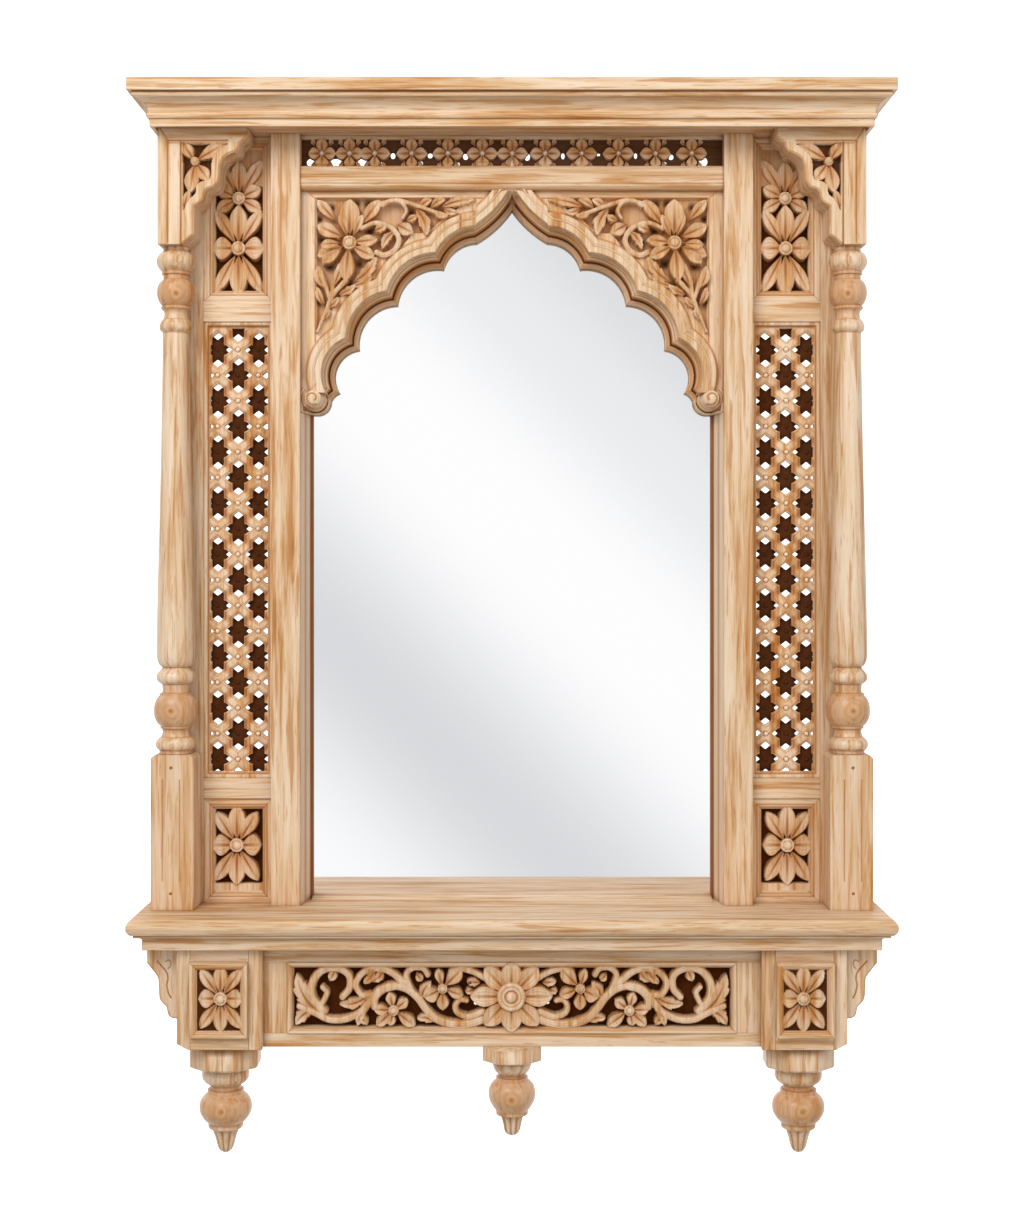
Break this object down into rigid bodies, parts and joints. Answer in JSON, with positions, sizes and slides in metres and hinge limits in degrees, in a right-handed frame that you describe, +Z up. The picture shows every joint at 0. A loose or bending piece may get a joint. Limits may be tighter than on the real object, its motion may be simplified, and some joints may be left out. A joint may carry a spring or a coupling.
{
  "type": "carved wall mirror",
  "caption": "Carved wooden jharokha wall mirror with a cusped arch over the glass, pierced side screens, turned columns, cornice, shelf and turned drops.",
  "frame": {"origin": "middle of the shelf board's back edge, on the wall plane and half way up the shelf's thickness", "axes": "+X to the right seen from the front, +Y into the wall, +Z up"},
  "size_m": [0.867, 0.18, 1.2249],
  "materials": {
    "limed_pine": "satin",
    "mirror_glass": "polished",
    "backing_board": "matte",
    "plated_steel": "satin"
  },
  "bodies": {
    "frame": {"top_board": "limed_pine", "cornice_front": "limed_pine", "cornice_left": "limed_pine", "cornice_right": "limed_pine", "soffit_board": "limed_pine", "side_board_left": "limed_pine", "side_board_right": "limed_pine", "outer_stile_left": "limed_pine", "outer_stile_right": "limed_pine", "inner_stile_left": "limed_pine", "inner_stile_right": "limed_pine", "header_rail": "limed_pine", "upper_rail_left": "limed_pine", "upper_rail_right": "limed_pine", "lower_rail_left": "limed_pine", "lower_rail_right": "limed_pine", "upper_panel_left": "limed_pine", "upper_panel_right": "limed_pine", "jali_left": "limed_pine", "jali_right": "limed_pine", "lower_panel_left": "limed_pine", "lower_panel_right": "limed_pine", "column_left": "limed_pine", "column_right": "limed_pine", "capital_left": "limed_pine", "capital_right": "limed_pine", "frieze_rail": "limed_pine", "frieze_jali": "limed_pine", "spandrel_left": "limed_pine", "spandrel_right": "limed_pine", "arch_crown": "limed_pine", "arch_left": "limed_pine", "arch_right": "limed_pine", "mirror_glass": "mirror_glass", "back_panel": "backing_board", "mirror_sill": "limed_pine", "shelf_board": "limed_pine", "shelf_moulding_front": "limed_pine", "shelf_moulding_left": "limed_pine", "shelf_moulding_right": "limed_pine", "corner_block_left": "limed_pine", "corner_block_right": "limed_pine", "block_panel_left": "limed_pine", "block_panel_right": "limed_pine", "apron_top_rail": "limed_pine", "apron_bottom_rail": "limed_pine", "apron_stile_left": "limed_pine", "apron_stile_right": "limed_pine", "apron_panel": "limed_pine", "corbel_left": "limed_pine", "corbel_right": "limed_pine", "finials": "limed_pine", "hanger_left": "plated_steel", "hanger_right": "plated_steel", "hanger_screws": "plated_steel"},
    "ring_left": {"ring_left": "plated_steel"},
    "ring_right": {"ring_right": "plated_steel"}
  },
  "joints": [
    {"name": "left_ring_swing", "type": "hinge", "parent": "frame", "child": "ring_left", "pos_m": [-0.2668, -0.0108, 0.8], "axis": [1, 0, 0], "range_deg": [0, 180]},
    {"name": "right_ring_swing", "type": "hinge", "parent": "frame", "child": "ring_right", "pos_m": [0.2668, -0.0108, 0.8], "axis": [1, 0, 0], "range_deg": [0, 180]}
  ]
}
